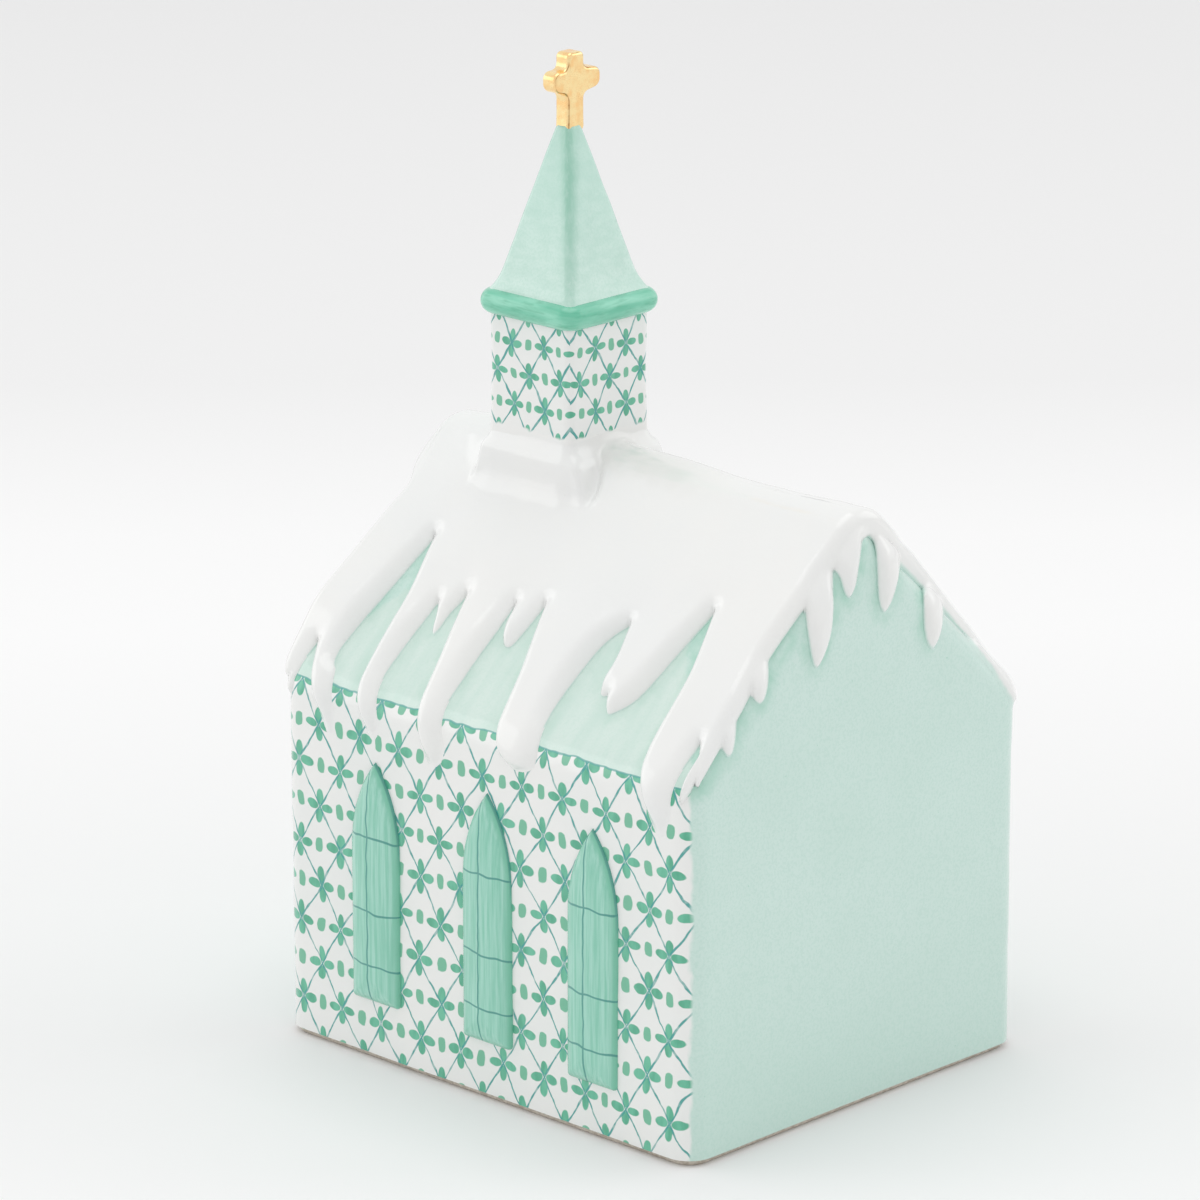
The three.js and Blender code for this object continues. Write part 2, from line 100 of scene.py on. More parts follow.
# lower edge of the snow on a gable: share of the half width, distance below the roof's line
GABLE_EDGE = [
    [[-1.125, -1.8], [-1.025, -0.8], [-0.944, -1.2], [-0.856, -2]],
    [[-0.822, 0.8], [-0.791, 2.7], [-0.762, 2.8], [-0.745, 0.3], [-0.754, -3.7]],
    [[-0.691, -2.3], [-0.637, 1.1], [-0.603, 2.6], [-0.572, 2.4], [-0.558, 0.4], [-0.566, -2.6]],
    [[-0.444, -1.6], [-0.352, -0.6]],
    [[-0.319, 6.4], [-0.278, 10], [-0.212, 9], [-0.186, 6.4], [-0.184, 0.3]],
    [[-0.15, 2.6], [-0.121, 5.7], [-0.09, 7.6], [-0.057, 7.5], [-0.034, 5.6], [-0.01, 2.8]],
    [[0.032, 2], [0.065, 3.2], [0.084, 8.8], [0.122, 10.1], [0.18, 6.4], [0.231, 0.6]],
    [[0.298, -0.3], [0.35, 0.6], [0.366, 6.8], [0.416, 8.4], [0.472, 4.8], [0.5, 0.6]],
    [[0.584, 1.1], [0.66, 2.3], [0.769, 2.9], [0.863, 4.1], [0.931, 4.8], [1, 3.2], [1.125, -2]],
]
# how far the slabs on the slopes stand out over a gable, against the way from the ridge, left to right
VERGE_REACH = [(-43, -0.4), (-32, -0.7), (-22, -1.4), (-11, -0.9), (-3, -0.3), (2, -0.2), (14, -1.8)]
# the height of the snow that hangs on a gable, against the way from its middle, left to right
GABLE_SNOW = [(-32, 1.38), (4, 1.38), (16, 1.0), (22, 0.8), (32, 0.6)]
# the height of the snow where it lies thick on a slope
SNOW_HEIGHT = 1.95


def smooth(value, low, high):
    t = np.clip((value - low) / (high - low), 0, 1)
    return t * t * (3 - 2 * t)


# the body of the nave as a distance in space

def profile(y, z):
    """distance from the nave's cross-section, and the way up from the eave along it"""
    side = np.abs(y)
    away_y, away_z = side - EAVE_C[0], z - EAVE_C[1]
    turn = np.arctan2(away_z, away_y)
    eave = (turn > 0) & (turn < EAVE_TURN)
    dist = np.maximum(side - HALF_Y, (z - APEX) * COS + side * SIN)
    dist = np.where(eave, np.hypot(away_y, away_z) - EAVE_ROUND, dist)
    up = np.where(turn <= 0, away_z - EAVE_HALF, EAVE_HALF - away_y * COS + away_z * SIN)
    up = np.where(eave, EAVE_ROUND * turn - EAVE_HALF, up)
    rise = z - RIDGE_C
    bend = np.arctan2(rise, side)
    ridge = (rise > 0) & (bend > EAVE_TURN)
    dist = np.where(ridge, np.hypot(side, rise) - RIDGE_ROUND, dist)
    up = np.where(ridge, RIDGE - RIDGE_ROUND * (math.pi / 2 - bend), up)
    return dist, up


def nave_distance(x, y, z):
    """distance from the nave, the way up from the eave, and the turn from slope (0) to gable (1)"""
    dist, up = profile(y, z)
    q, r = np.maximum(dist + VERGE, 0), np.maximum(np.abs(x) - HALF_X + VERGE, 0)
    inner = np.minimum(np.maximum(dist, np.abs(x) - HALF_X) + VERGE, 0)
    return np.hypot(q, r) + inner - VERGE - unevenness(x, y, z), up, np.arctan2(r, q) / (math.pi / 2)


def unevenness(x, y, z):
    """the slight waves of a hand-finished casting"""
    wave = 0.07 * np.sin(0.13 * x + 1.4 * np.sin(0.08 * z)) * np.cos(0.12 * y + 0.09 * z)
    wave += 0.045 * np.sin(0.29 * x + 0.21 * z + 2) * np.sin(0.26 * y - 0.24 * z + 1)
    return wave + 0.02 * np.sin(0.8 * x + 0.5 * y + 0.3 * z) * np.sin(0.6 * z - 0.7 * y + 0.4 * x)


# the snow's relief as height maps on a slope and on a gable

def curve(points, steps=7):
    """smooth line through the points"""
    p = np.array([points[0], *points, points[-1]], float)
    t = np.linspace(0, 1, steps, endpoint=False)[:, None]
    out = []
    for i in range(len(points) - 1):
        a, b, c, d = p[i:i + 4]
        square, cube = 2 * a - 5 * b + 4 * c - d, 3 * b - a - 3 * c + d
        out.append(b + 0.5 * t * (c - a + t * (square + t * cube)))
    return np.concatenate(out)


def blur(grid, cells):
    """the grid smoothed over about this many cells each way"""
    margin = 3 * cells
    weights = np.exp(-0.5 * (np.arange(-margin, margin + 1) / cells) ** 2)
    for axis in (0, 1):
        wide = np.pad(grid, [(margin, margin) if a == axis else (0, 0) for a in (0, 1)], "edge")
        length = grid.shape[axis]
        grid = sum(w * wide.take(range(k, k + length), axis) for k, w in enumerate(weights))
    return grid / weights.sum() ** 2


class Relief:
    """share of the snow's full height over a plane, below 0 outside the snow's edge

    low and high bound the plane. The flanks are left wide where the edge runs down and right wide where
    it runs up. fade widens the lip below the eave, dip lowers the snow round the tongues' ends, and beyond
    thaw it runs out softly.
    """

    STEP = 0.2

    def __init__(self, edge, low, high, left, right, fade=0.0, dip=0.0, thaw=99):
        ends = [edge[0][0]]
        rows = []
        for tongue in edge:
            rows.append(curve([ends[-1], *tongue] if rows else tongue))
            ends.append(tongue[-1])
        path = np.concatenate([*rows, [ends[-1]]])
        self.low, self.size = np.array(low), np.ceil((np.array(high) - low) / self.STEP).astype(int)
        xs = low[0] + self.STEP * np.arange(self.size[0])
        ys = low[1] + self.STEP * np.arange(self.size[1])
        near = np.full(self.size, FAR)
        share = np.ones(self.size)
        for a, b in zip(path[:-1], path[1:]):
            way = b - a
            length = max(np.hypot(*way), 1e-6)
            i0, j0 = np.maximum(((np.minimum(a, b) - 4 - low) / self.STEP).astype(int), 0)
            i1, j1 = ((np.maximum(a, b) + 4 - low) / self.STEP).astype(int) + 1
            if i1 <= 0 or j1 <= 0:
                continue
            gx, gy = xs[i0:i1, None] - a[0], ys[None, j0:j1] - a[1]
            t = np.clip((gx * way[0] + gy * way[1]) / length ** 2, 0, 1)
            d = np.hypot(gx - t * way[0], gy - t * way[1])
            tip = min(np.hypot(*(a - end)) for end in np.array(ends))
            rising = np.clip(0.5 + 0.7 * way[1] / length, 0, 1)
            width = left + (right - left) * rising * np.clip(0.4 + tip / 12, 0, 1)
            soft = np.clip(width - 0.9, 0, 1)
            q = 1 - np.clip(d / width, 0, 1)
            near[i0:i1, j0:j1] = np.minimum(near[i0:i1, j0:j1], d)
            rise = (1 - soft) * np.sqrt(1 - q * q) + soft * (1 - q * q)
            share[i0:i1, j0:j1] = np.minimum(share[i0:i1, j0:j1], rise)
        inside = np.zeros(self.size, bool)
        loop = np.concatenate([path, [[high[0] + 9, high[1] + 9], [low[0] - 9, high[1] + 9], path[0]]])
        for a, b in zip(loop[:-1], loop[1:]):
            rows_hit = (ys >= min(a[1], b[1])) & (ys < max(a[1], b[1]))
            if rows_hit.any():
                at = a[0] + (ys[rows_hit] - a[1]) * (b[0] - a[0]) / (b[1] - a[1])
                inside[:, rows_hit] ^= xs[:, None] < at[None, :]
        lip_width = 0.55 + fade * smooth(-ys[None, :], 0, 6)
        lip = np.sqrt(1 - (1 - np.clip(near / lip_width, 0, 1)) ** 2)
        soft = smooth(xs[:, None], thaw, thaw + 6)
        lip = lip * (1 - soft) + smooth(near, 0, 1.5) * soft
        for end in np.array(ends):
            away = (xs[:, None] - end[0]) ** 2 + (ys[None, :] - end[1]) ** 2
            share *= 1 - dip * np.exp(-away / 20)
        share = blur(np.where(inside, share, 0), 3) * lip
        if fade:
            share = share ** (1 + 0.9 * smooth(-ys[None, :], 0, 5))
        self.map = np.where(inside, share, -np.clip(near / 0.7, 0, 1)).astype(np.float32)

    def at(self, x, y):
        u = np.clip((x - self.low[0]) / self.STEP, 0, self.size[0] - 1.001)
        v = np.clip((y - self.low[1]) / self.STEP, 0, self.size[1] - 1.001)
        i, j = u.astype(int), v.astype(int)
        s, t = u - i, v - j
        m = self.map
        near = m[i, j] * (1 - s) + m[i + 1, j] * s
        far = m[i, j + 1] * (1 - s) + m[i + 1, j + 1] * s
        return near * (1 - t) + far * t


def roof_line(share):
    """height of a gable's sharp outline"""
    return EAVE + (1 - abs(share)) * HALF_Y * TAN


slope_line = [[(x * HALF_X, up) for x, up in tongue] for tongue in SLOPE_EDGE]
gable_line = [[(y * HALF_Y, roof_line(y) - drop) for y, drop in tongue] for tongue in GABLE_EDGE]
SLOPE = Relief(slope_line, (-43, -13), (43, 30), left=0.9, right=2.6, fade=1.2, dip=0.22)
GABLE = Relief(gable_line, (-38, 38), (38, 92), left=2.0, right=0.9, thaw=14)


def ease(value, table):
    """smooth curve through (place, height) pairs"""
    total = table[0][1]
    for (a, low), (b, high) in zip(table[:-1], table[1:]):
        total = total + (high - low) * smooth(value, a, b)
    return total


def hump(value, middle, width):
    """1 in the middle, less to both sides"""
    return np.exp(-((value - middle) / width) ** 2)


def slope_snow(x, y, up):
    """how far the snow stands above a slope, below 0 beyond its edge"""
    way = np.where(y < 0, 1.0, -1.0)
    share = SLOPE.at(way * x, up)
    full = SNOW_HEIGHT * (0.45 + 0.2 * smooth(up, -6, 0) + 0.35 * smooth(up, -1, 13))
    # more lies along the ridge, on both sides of the tower
    full = full + 0.75 * hump(x, -4, 13) * smooth(up, RIDGE - 16, RIDGE)
    full = full + (0.9 * hump(x, -24, 4.5) - 0.3 * smooth(-x, 31, 37)) * smooth(up, RIDGE - 12, RIDGE)
    # the left end of the near slope swells above the eave, and is lower at the ridge and below the eave
    left = smooth(-x, 22, 34) * smooth(-y, -4, 4)
    full = full + left * (0.4 * hump(up, 9, 6) - 0.9 * smooth(up, 20, 40))
    full = full * (1 - 0.5 * smooth(-x, 33, 37) * smooth(-y, 0, 10) * (1 - smooth(up, -1, 6)))
    # the snow gets thin towards the eave at the far slope's end over the gable without a door
    thin = smooth(x, 22, 33) * smooth(y, -4, 8)
    full = full * (1 - thin) + thin * np.clip(0.5 + 0.072 * up, 0.1, 2.6)
    waves = np.sin(0.21 * x + 0.17 * up + 0.6) * np.sin(0.13 * x - 0.19 * up + 1.1)
    full = full * (1 + 0.04 * waves)
    return np.where(share > 0, share * np.maximum(full, 0.2), share * 0.9)


def gable_snow(x, y, z):
    """how far the snow stands above a gable, below 0 beyond its edge"""
    end = np.where(x > 0, 1.0, -1.0)
    deep = HALF_X - np.abs(x)
    skew = np.where(deep > 0, deep, 0.5 * deep)
    share = GABLE.at(end * y - 1.04 * skew, z + 0.44 * skew)
    full = ease(end * y, GABLE_SNOW)
    return np.where(share > 0, share * full, share * 0.9)


def snow_distance(x, y, z):
    """distance from the blanket: a slab on each slope with rounded ends, and the snow on the gables"""
    flat, up = profile(y, z)
    wave = unevenness(x, y, z)
    end = np.where(x > 0, 1.0, -1.0)
    # the way from the ridge, left or right as seen by someone who faces the gable
    along = (RIDGE - up) * np.clip(end * y / 0.5, -1, 1)
    slope = slope_snow(x, y, up)
    over = np.maximum(np.maximum(flat - wave - slope, -flat - 1.5), -4 * slope - 0.8)
    # the left end of the near slope bulges over its gable
    bulge = 2.4 * smooth(-y, 0, 10) * (1 - smooth(up, 8, 34)) - 0.5 * smooth(up, 24, 38)
    out = np.abs(x) - HALF_X - wave - ease(along, VERGE_REACH) - bulge * smooth(-x, 20, 30)
    slab = rounded(over, out, 1.6)
    dist, _, turn = nave_distance(x, y, z)
    # left of the ridge the gable's snow starts below the slab, right of it one skin goes round
    left = 1 - smooth(along, -2, 8)
    skin = smooth(turn, 0.06, 0.34)
    gable = gable_snow(x, y, z)
    whole = slope * (1 - skin) + gable * skin
    hang = dist - (gable * left + whole * (1 - left))
    hang = hang + 4 * left * (1 - smooth(turn, 0.1, 0.25)) + 4 * (1 - smooth(np.abs(x), 29, 33))
    return blend_min(slab, hang, 0.05 + 0.3 * left), dist


def rounded(a, b, radius):
    """distance from what two surfaces hold between them, with its edge rounded"""
    a, b = a + radius, b + radius
    return np.hypot(np.maximum(a, 0), np.maximum(b, 0)) + np.minimum(np.maximum(a, b), 0) - radius


def square_distance(x, y, half_x, half_y, radius):
    return rounded(np.abs(x - TOWER_X) - half_x, np.abs(y) - half_y, radius)


def saddle_right(z):
    """half width of the saddle on its right side, where it spreads most"""
    return 8.8 + 0.42 * (SADDLE_TOP - z)


def saddle_distance(x, y, z):
    drop = SADDLE_TOP - z
    half_x = np.where(x < TOWER_X, 8.25 + 0.3 * drop, saddle_right(z))
    return rounded(square_distance(x, y, half_x, 8.35 + 0.02 * drop, 1.0), 0.25 - drop, 1.3)


def blend_min(a, b, width):
    """the nearer of two surfaces, with a fillet of about this width where they meet"""
    h = np.maximum(width - np.abs(a - b), 0) / width
    return np.minimum(a, b) - h * h * width / 4


# meshes

def nets(field, low, step):
    """quads round the places where the field turns from below 0 to above it"""
    inside = field < 0
    n = [s - 1 for s in field.shape]
    corner = [(i, j, k) for i in (0, 1) for j in (0, 1) for k in (0, 1)]
    count = sum(inside[i:n[0] + i, j:n[1] + j, k:n[2] + k].astype(np.uint8) for i, j, k in corner)
    active = (count > 0) & (count < 8)
    cells = np.argwhere(active)
    index = np.full(active.shape, -1, np.int64)
    index[active] = np.arange(len(cells))
    total, hits = np.zeros((len(cells), 3)), np.zeros(len(cells))
    for axis in range(3):
        ahead, u, v = np.roll(np.eye(3, dtype=int), -axis, axis=0)
        for shift in (0 * u, v, u, u + v):
            a = cells + shift
            fa, fb = field[tuple(a.T)], field[tuple((a + ahead).T)]
            cross = (fa < 0) != (fb < 0)
            at = a[cross].astype(float)
            at[:, axis] += fa[cross] / (fa[cross] - fb[cross])
            total[cross] += at
            hits[cross] += 1
    points = np.array(low) + step * total / hits[:, None]
    quads = []
    for axis in range(3):
        u, v = (axis + 1) % 3, (axis + 2) % 3
        first, second = [slice(None)] * 3, [slice(None)] * 3
        first[axis], second[axis] = slice(0, -1), slice(1, None)
        p = np.argwhere(inside[tuple(first)] != inside[tuple(second)])
        p = p[(p[:, u] > 0) & (p[:, v] > 0) & (p[:, u] < n[u]) & (p[:, v] < n[v])]
        back, aside = np.eye(3, dtype=int)[[u, v]]
        shifts = (0 * back, back, back + aside, aside)
        quad = np.stack([index[tuple((p - shift).T)] for shift in shifts], 1)
        out = inside[tuple(p.T)]
        quad[~out] = quad[~out][:, ::-1]
        quads.append(quad)
    return points, np.concatenate(quads)


def settle(points, function):
    """points moved onto the zero surface of function(x, y, z), with the surface's normals"""
    steps, probe, most = 2, 0.05, 0.15
    for step in range(steps + 1):
        rises = [function(*(points + way).T) - function(*(points - way).T) for way in probe * np.eye(3)]
        slope = np.stack(rises, 1) / (2 * probe)
        if step < steps:
            length = np.maximum(np.linalg.norm(slope, axis=1), 0.2)
            move = np.clip(function(*points.T) / length, -most, most)
            points = points - slope / length[:, None] * move[:, None]
    return points, slope / np.linalg.norm(slope, axis=1)[:, None]


def put(name, data):
    """a new object in the scene"""
    obj = bpy.data.objects.new(name, data)
    bpy.context.scene.collection.objects.link(obj)
    return obj


def piece(name, points, faces, nodes, material, normals=None, values=None):
    """a visible piece that stands for CAD nodes, with numbers for its material on its points"""
    mesh = bpy.data.meshes.new(name)
    mesh.from_pydata((np.asarray(points) * MM).tolist(), [], [list(map(int, f)) for f in faces])
    mesh.polygons.foreach_set("use_smooth", [True] * len(mesh.polygons))
    if normals is not None:
        mesh.normals_split_custom_set_from_vertices(np.asarray(normals).tolist())
    for key, data in (values or {}).items():
        layer = mesh.attributes.new(key, "FLOAT", "POINT")
        layer.data.foreach_set("value", np.asarray(data, np.float32))
    mesh.update()
    mesh.materials.append(material)
    obj = put(name, mesh)
    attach(obj, "root")
    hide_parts(*nodes)


# node trees

class Look:
    """a glaze material, built from small socket sums"""

    def __init__(self, name, roughness=0.2, coat=0.6, metallic=0.0):
        self.material = bpy.data.materials.new(name)
        self.material.use_nodes = True
        self.tree = self.material.node_tree
        self.shader = self.tree.nodes["Principled BSDF"]
        self.shader.inputs["Roughness"].default_value = roughness
        self.shader.inputs["Metallic"].default_value = metallic
        self.shader.inputs["Coat Weight"].default_value = coat
        self.shader.inputs["Coat Roughness"].default_value = 0.07
        scaled = self.node("VectorMath")
        scaled.operation = "SCALE"
        scaled.inputs["Scale"].default_value = 1 / MM
        self.link(self.node("TexCoord").outputs["Object"], scaled.inputs[0])
        self.place = scaled.outputs[0]
        split = self.node("SeparateXYZ")
        self.link(self.place, split.inputs[0])
        self.x, self.y, self.z = split.outputs

    def node(self, kind, **constants):
        """a new node with some of its inputs set"""
        node = self.tree.nodes.new("ShaderNode" + kind)
        for key, constant in constants.items():
            node.inputs[key].default_value = constant
        return node

    def link(self, source, socket):
        if isinstance(source, (int, float)):
            socket.default_value = source
        elif isinstance(source, tuple):
            wider = len(socket.default_value) > len(source)
            socket.default_value = (*source, 1.0) if wider else source
        else:
            self.tree.links.new(source, socket)

    def do(self, operation, a, b=0.0, c=0.0):
        node = self.node("Math")
        node.operation = operation
        for value, socket in zip((a, b, c), node.inputs):
            self.link(value, socket)
        return node.outputs[0]

    add = partialmethod(do, "ADD")
    sub = partialmethod(do, "SUBTRACT")
    mul = partialmethod(do, "MULTIPLY")
    top = partialmethod(do, "MAXIMUM")
    least = partialmethod(do, "MINIMUM")
    size = partialmethod(do, "ABSOLUTE")
    square = partialmethod(do, "POWER", b=2.0)

    def step(self, value, low, high, out_low=0.0, out_high=1.0):
        node = self.node("MapRange")
        node.interpolation_type = "SMOOTHSTEP"
        for i, v in enumerate((value, low, high, out_low, out_high)):
            self.link(v, node.inputs[i])
        return node.outputs[0]

    def fall(self, value, low, high):
        """1 below low, 0 above high"""
        return self.step(value, low, high, 1.0, 0.0)

    def noise(self, scale, detail=2.0, stretch=(1, 1, 1), offset=0.0, rough=0.5):
        node = self.node("TexNoise", Scale=scale, Detail=detail, Roughness=rough)
        source = self.place
        if stretch != (1, 1, 1) or offset:
            mapping = self.node("Mapping", Scale=stretch, Location=(offset, 0.7 * offset, 0.3 * offset))
            self.link(source, mapping.inputs["Vector"])
            source = mapping.outputs[0]
        self.link(source, node.inputs["Vector"])
        return node.outputs["Fac"]

    def sway(self, amount, *scale, **kind):
        """a noise that swings round 0"""
        return self.mul(self.sub(self.noise(*scale, **kind), 0.5), amount)

    def value(self, name):
        node = self.node("Attribute")
        node.attribute_name = name
        return node.outputs["Fac"]

    def mix(self, share, a, b):
        node = self.node("Mix")
        node.data_type = "RGBA"
        for i, v in ((0, share), (6, a), (7, b)):
            self.link(v, node.inputs[i])
        return node.outputs[2]

    def mottle(self, noise, a, b, most=1.0):
        """from the first colour towards the second where the noise is high"""
        return self.mix(self.step(noise, 0.3, 0.7, 0.0, most), a, b)

    def bump(self, height, distance):
        node = self.node("Bump", Strength=1.0, Distance=distance * MM)
        self.link(height, node.inputs["Height"])
        self.link(node.outputs[0], self.shader.inputs["Normal"])

    def colour(self, source):
        self.link(source, self.shader.inputs["Base Color"])

    def rough(self, source):
        self.link(source, self.shader.inputs["Roughness"])


def rgb(r, g, b):
    """a colour written as it shows on a screen"""
    def line(v):
        v /= 255
        return v / 12.92 if v <= 0.04045 else ((v + 0.055) / 1.055) ** 2.4
    return line(r), line(g), line(b)


WHITE = rgb(242, 242, 240)
TEAL = rgb(44, 156, 150)
LEAF = rgb(92, 190, 156)
MINT = rgb(208, 232, 224)
MINT_DEEP = rgb(158, 210, 190)


def glazed(name, relief=0.02):
    """a glaze with fine unevenness in its gloss and in its surface"""
    look = Look(name)
    look.rough(look.step(look.noise(0.15, 3, offset=9), 0.3, 0.7, 0.15, 0.2))
    look.bump(look.noise(0.9, 3), relief)
    return look


def trellis(look, across, z, zoom, pitch=7.5, rise=11.2):
    """hand-drawn diagonal net: the share of line, of petal and of bud"""
    fine = look.sway(0.22, 0.9, 1.0, offset=17)
    a = look.mul(look.add(look.add(across, look.sway(1.5, 0.16, 1.0, offset=3)), fine), zoom / pitch)
    h = look.mul(look.add(look.add(z, look.sway(1.5, 0.16, 1.0, offset=31)), fine), zoom / rise)
    fu = look.sub(look.do("FRACT", look.add(look.add(a, h), 100.5)), 0.5)
    fv = look.sub(look.do("FRACT", look.add(look.sub(a, h), 100.5)), 0.5)
    to_mm = 1 / math.hypot(1 / pitch, 1 / rise)
    width = look.step(look.noise(0.45, 2, offset=5), 0.3, 0.7, 0.08 * zoom, 0.17 * zoom)
    near = look.mul(look.least(look.size(fu), look.size(fv)), to_mm)
    line = look.fall(look.sub(near, width), -0.05, 0.07)
    line = look.mul(line, look.step(look.noise(0.7, 2, offset=23), 0.32, 0.55, 0.62, 0.95))
    # four petals round each crossing, and a bud in the middle of each mesh
    side = look.mul(look.size(look.add(fu, fv)), pitch / 2)
    tall = look.mul(look.size(look.sub(fu, fv)), rise / 2)
    far, close = look.top(side, tall), look.least(side, tall)
    petal_from, petal_half, petal_wide = 1.35, 1.08, 0.66
    out = look.square(look.mul(look.sub(far, petal_from), 1 / petal_half))
    petal = look.fall(look.add(out, look.square(look.mul(close, 1 / petal_wide))), 0.75, 1.15)
    mu, mv = look.sub(0.5, look.size(fu)), look.sub(0.5, look.size(fv))
    one = look.square(look.mul(look.add(mu, mv), 0.75 * to_mm))
    other = look.square(look.mul(look.sub(mu, mv), 0.55 * to_mm))
    middle = look.do("SQRT", look.add(one, other))
    return line, petal, look.fall(middle, 0.78, 0.93)


def painted_white(look, across, z, zoom=1.0):
    """the net in teal and green on white"""
    line, petal, bud = trellis(look, across, z, zoom)
    leaf = look.mottle(look.noise(0.8, 2, stretch=(1, 1, 0.35), offset=41), LEAF, rgb(58, 168, 132))
    tone = look.mottle(look.noise(0.06, 2), WHITE, rgb(238, 240, 238))
    tone = look.mix(look.mul(petal, 0.96), tone, leaf)
    tone = look.mix(look.mul(bud, 0.9), tone, rgb(84, 182, 144))
    return look.mix(line, tone, TEAL)


def nave_look():
    look = glazed("nave_glaze")
    painted = painted_white(look, look.x, look.z)
    cloud = look.noise(0.07, 3, offset=2)
    grain = look.noise(2.6, 3, offset=8, rough=0.65)
    streak = look.noise(0.5, 3, stretch=(1, 0.16, 0.16), offset=14)
    # the wash is deeper along the snow's edge: partly glaze pooling, partly painted shade in the crease
    # beside the snow
    pool_and_crease_shade = look.fall(look.value("snow"), 0.2, 3.2)
    pool_and_crease_shade = look.mul(pool_and_crease_shade, look.step(look.noise(0.3, 2, offset=21), 0.3, 0.7, 0.15, 0.75))
    plain = look.mottle(cloud, MINT, rgb(200, 227, 217), 0.5)
    plain = look.mix(look.step(look.z, 30, 2, 0.0, 0.4), plain, rgb(196, 223, 213))
    plain = look.mix(look.step(grain, 0.44, 0.62, 0.0, 0.34), plain, rgb(182, 218, 206))
    speck = look.step(look.noise(1.5, 1, offset=33), 0.79, 0.82, 0.0, 0.5)
    # specks, and the pooling with painted shade along the snow's edge
    plain = look.mix(look.top(speck, pool_and_crease_shade), plain, MINT_DEEP)
    roof = look.mix(look.step(streak, 0.32, 0.72, 0.0, 0.8), rgb(216, 234, 226), rgb(204, 228, 218))
    roof = look.mix(look.step(grain, 0.44, 0.7, 0.0, 0.3), roof, rgb(196, 224, 212))
    # on the roof too, pooling with painted shade along the snow's edge
    roof = look.mix(look.mul(pool_and_crease_shade, 0.6), roof, rgb(176, 214, 198))
    # the long walls are painted up to the eave, the rest is washed
    above = look.add(look.sub(look.z, EAVE), look.sway(1.2, 0.22, 2, offset=27))
    eave = look.step(above, -0.12, 0.12)
    corner = look.sub(look.sub(look.size(look.x), HALF_X - 1.9), look.sub(look.size(look.y), HALF_Y - 1.9))
    ragged = look.sway(2.2, 0.6, 3, stretch=(1, 1, 0.5), offset=45)
    gable = look.step(look.add(corner, ragged), -0.5, 0.5)
    rim = look.mul(look.fall(look.size(above), 0.05, 0.18), look.sub(1.0, gable))
    base = look.mix(eave, painted, roof)
    base = look.mix(gable, base, plain)
    base = look.mix(look.mul(rim, 0.75), base, TEAL)
    look.colour(look.mix(look.value("inside"), base, look.mottle(cloud, WHITE, rgb(232, 230, 225))))
    return look.material


def snow_look():
    look = glazed("snow_glaze", 0.015)
    tone = look.mottle(look.noise(0.05, 3), WHITE, rgb(240, 241, 240))
    # painted shade: a greyer band along the ridge beside the tower, where the tower's shadow falls
    along = look.mul(look.step(look.x, -12, -4), look.step(look.x, 18, 2))
    aside = look.add(look.size(look.y), look.sway(3, 0.3, 3, offset=13))
    ridge_shade = look.mul(along, look.step(aside, 5.5, 3.0))
    tone = look.mix(look.mul(ridge_shade, 0.85), tone, rgb(233, 233, 230))
    # where the snow is thin, the wash under it shows through
    thick = look.add(look.value("thick"), look.sway(0.2, 0.8, 2, offset=5))
    look.colour(look.mix(look.step(thick, 0.05, 0.4), MINT, tone))
    return look.material


def tower_look():
    look = glazed("painted_white_glaze")
    side = look.sub(look.x, TOWER_X)
    turn = look.do("GREATER_THAN", look.size(look.y), look.size(side))
    across = look.add(look.mul(turn, side), look.mul(look.sub(1.0, turn), look.y))
    painted = painted_white(look, across, look.add(look.z, 1.5), 1.34)
    foot = look.step(look.add(look.z, look.sway(1.4, 0.5, 2, offset=6)), SADDLE_TOP + 1.9, SADDLE_TOP + 2.3)
    look.colour(look.mix(foot, WHITE, painted))
    return look.material


def green_look():
    look = glazed("green_glaze")
    broad = look.noise(0.35, 3, stretch=(0.35, 0.35, 2.2), offset=4)
    tone = look.mottle(broad, rgb(102, 194, 162), rgb(142, 217, 190))
    stroke = look.step(look.noise(1.4, 2, stretch=(0.3, 0.3, 2)), 0.45, 0.75, 0.0, 0.5)
    look.colour(look.mix(stroke, tone, rgb(80, 172, 138)))
    return look.material


def spire_look():
    look = glazed("pale_green_glaze")
    streak = look.noise(0.6, 3, stretch=(0.5, 0.5, 1.3), offset=4)
    tone = look.mottle(streak, rgb(194, 225, 213), rgb(206, 232, 222))
    grain = look.step(look.noise(2.8, 3, offset=8, rough=0.65), 0.44, 0.62, 0.0, 0.35)
    tone = look.mix(grain, tone, rgb(176, 216, 200))
    tone = look.mix(look.step(look.z, BEAD_TOP, SPIRE_TOP, 0.0, 0.55), tone, rgb(172, 215, 200))
    # a darker brushed band down the front edge
    side = look.sub(look.x, TOWER_X)
    fold = look.size(look.add(look.add(side, look.y), look.sway(1.4, 0.4, 2)))
    front = look.do("GREATER_THAN", look.sub(side, look.y), 0.0)
    band = look.mul(look.fall(fold, 0.1, 2.3), front)
    band = look.mul(band, look.step(look.z, BEAD_TOP + 1, BEAD_TOP + 14, 0.35, 0.75))
    brush = look.noise(2.4, 3, stretch=(1, 1, 0.12), offset=19)
    band = look.mul(band, look.step(brush, 0.3, 0.6, 0.55, 1.0))
    look.colour(look.mix(band, tone, rgb(140, 198, 175)))
    return look.material


